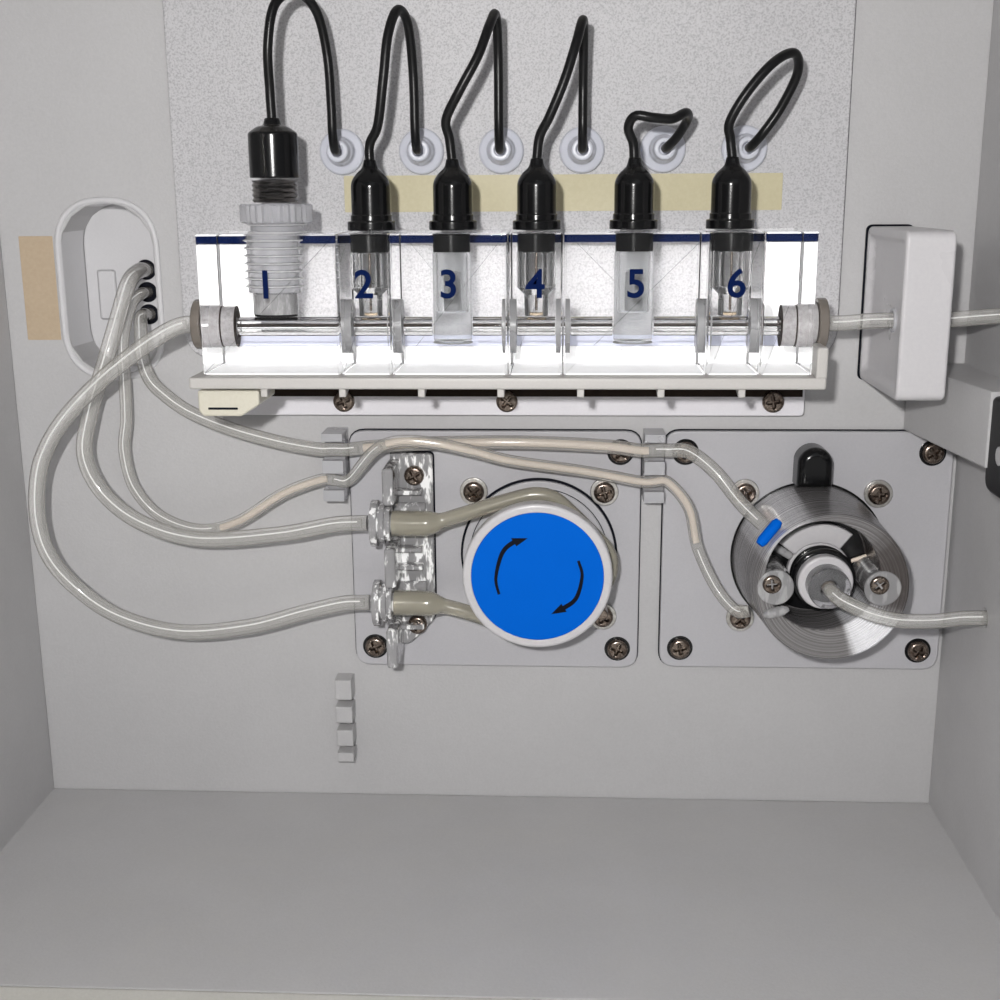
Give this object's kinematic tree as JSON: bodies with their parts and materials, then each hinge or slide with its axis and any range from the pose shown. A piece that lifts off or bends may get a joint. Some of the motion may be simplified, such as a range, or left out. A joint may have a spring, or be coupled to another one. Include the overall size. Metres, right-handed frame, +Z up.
{
  "type": "electrolyte analyzer",
  "caption": "Bench-top electrolyte analyzer with its door open: clear flow modules with electrodes, roller pump, rotary valve and tubing in a wet bay.",
  "frame": {"origin": "middle of the outer box on the bench, under the foot strips", "axes": "+Z up, -Y towards the user who faces the open bay, +X to that user's right"},
  "size_m": [0.26, 0.532, 0.3442],
  "materials": {
    "shell": "fine matt texture",
    "bay": "satin",
    "plate": "fine speckled paint",
    "black": "glossy",
    "rubber": "matt",
    "acrylic": "clear, polished",
    "smoked": "smoked, polished",
    "white": "satin",
    "cream": "satin",
    "steel": "ground",
    "tubing": "translucent",
    "pump_tubing": "translucent",
    "green_key": "satin",
    "red_key": "satin",
    "display": "polished",
    "board": "satin",
    "paper": "matt"
  },
  "bodies": {
    "cabinet": {"base_pan": "shell", "outer_cover": "shell", "control_panel": "shell", "front_bezel": "shell", "rear_panel": "shell", "bay_liner": "bay", "bay_back_plate": "bay", "sensor_panel": "plate", "electrode_tray": "plate", "pump_plate": "plate", "valve_plate": "plate", "printer_cradle": "black", "power_inlet": "black", "reference_electrode": "black", "chloride_electrode": "black", "ph_electrode": "black", "calcium_electrode": "black", "sodium_electrode": "black", "potassium_electrode": "black", "pump_motor": "black", "valve_motor": "black", "foot_strip_left": "rubber", "foot_strip_right": "rubber", "reference_block": "acrylic", "chloride_module": "acrylic", "ph_module": "acrylic", "calcium_module": "acrylic", "sodium_module": "acrylic", "potassium_module": "acrylic", "end_block": "acrylic", "reference_sleeve": "acrylic", "hose_anchor": "acrylic", "valve_body": "acrylic", "pump_ring": "white", "flow_detector": "white", "outlet_tube": "tubing", "waste_tube": "tubing", "standard_b_tube": "tubing", "standard_a_tube": "tubing", "sample_tube": "tubing", "rinse_tube": "tubing", "pump_tube": "pump_tubing", "display_window": "display", "main_board": "board"},
    "door": {"door_frame": "shell", "door_pane": "smoked"},
    "accept_key": {"accept_key": "green_key"},
    "cancel_key": {"cancel_key": "red_key"},
    "printer_lid": {"printer_lid": "shell"},
    "paper_roll": {"paper_roll": "paper"},
    "power_switch": {"power_switch": "black"},
    "tray_latch": {"tray_latch": "cream"},
    "pump_rotor": {"pump_rotor": "white"},
    "roller_1": {"roller_1": "cream"},
    "roller_2": {"roller_2": "cream"},
    "roller_3": {"roller_3": "cream"},
    "roller_4": {"roller_4": "cream"},
    "valve_rotor": {"valve_rotor": "white"},
    "probe": {"probe_arm": "black", "sample_probe": "steel"}
  },
  "joints": [
    {"name": "door_hinge", "type": "hinge", "parent": "cabinet", "child": "door", "pos_m": [-0.1262, -0.0061, 0.1403], "axis": [0, 0, -1], "range_deg": [-90, 15]},
    {"name": "accept_key_press", "type": "slide", "parent": "cabinet", "child": "accept_key", "axis": [0, 0.8079, -0.5893], "range_m": [0, 0.0015], "stiffness_N_per_m": 300, "springref_m": -0.001},
    {"name": "cancel_key_press", "type": "slide", "parent": "cabinet", "child": "cancel_key", "axis": [0, 0.8079, -0.5893], "range_m": [0, 0.0015], "stiffness_N_per_m": 300, "springref_m": -0.001},
    {"name": "printer_lid_hinge", "type": "hinge", "parent": "cabinet", "child": "printer_lid", "pos_m": [0.069, 0.1787, 0.3424], "axis": [-1, 0, 0], "range_deg": [0, 100]},
    {"name": "paper_roll_spin", "type": "hinge", "parent": "cabinet", "child": "paper_roll", "pos_m": [0.069, 0.1464, 0.3118], "axis": [1, 0, 0], "continuous": true},
    {"name": "power_switch_rock", "type": "hinge", "parent": "cabinet", "child": "power_switch", "pos_m": [-0.046, 0.2622, 0.0523], "axis": [-1, 0, 0], "range_deg": [0, 12]},
    {"name": "tray_latch_hinge", "type": "hinge", "parent": "cabinet", "child": "tray_latch", "pos_m": [-0.0528, 0.0704, 0.1553], "axis": [1, 0, 0], "range_deg": [0, 12]},
    {"name": "pump_spin", "type": "hinge", "parent": "cabinet", "child": "pump_rotor", "pos_m": [0.0147, 0.0824, 0.1087], "axis": [0, 1, 0], "continuous": true, "deforming": ["pump_tube"]},
    {"name": "roller_1_spin", "type": "hinge", "parent": "pump_rotor", "child": "roller_1", "pos_m": [0.0147, 0.0824, 0.1203], "axis": [0, 1, 0], "continuous": true},
    {"name": "roller_2_spin", "type": "hinge", "parent": "pump_rotor", "child": "roller_2", "pos_m": [0.0263, 0.0824, 0.1087], "axis": [0, 1, 0], "continuous": true},
    {"name": "roller_3_spin", "type": "hinge", "parent": "pump_rotor", "child": "roller_3", "pos_m": [0.0147, 0.0824, 0.0971], "axis": [0, 1, 0], "continuous": true},
    {"name": "roller_4_spin", "type": "hinge", "parent": "pump_rotor", "child": "roller_4", "pos_m": [0.0031, 0.0824, 0.1087], "axis": [0, 1, 0], "continuous": true},
    {"name": "valve_turn", "type": "hinge", "parent": "cabinet", "child": "valve_rotor", "pos_m": [0.0825, 0.0804, 0.1086], "axis": [0, -1, 0], "range_deg": [0, 120]},
    {"name": "probe_swing", "type": "hinge", "parent": "cabinet", "child": "probe", "pos_m": [0.114, 0.0374, 0.1459], "axis": [-1, 0, 0], "range_deg": [0, 45]}
  ]
}
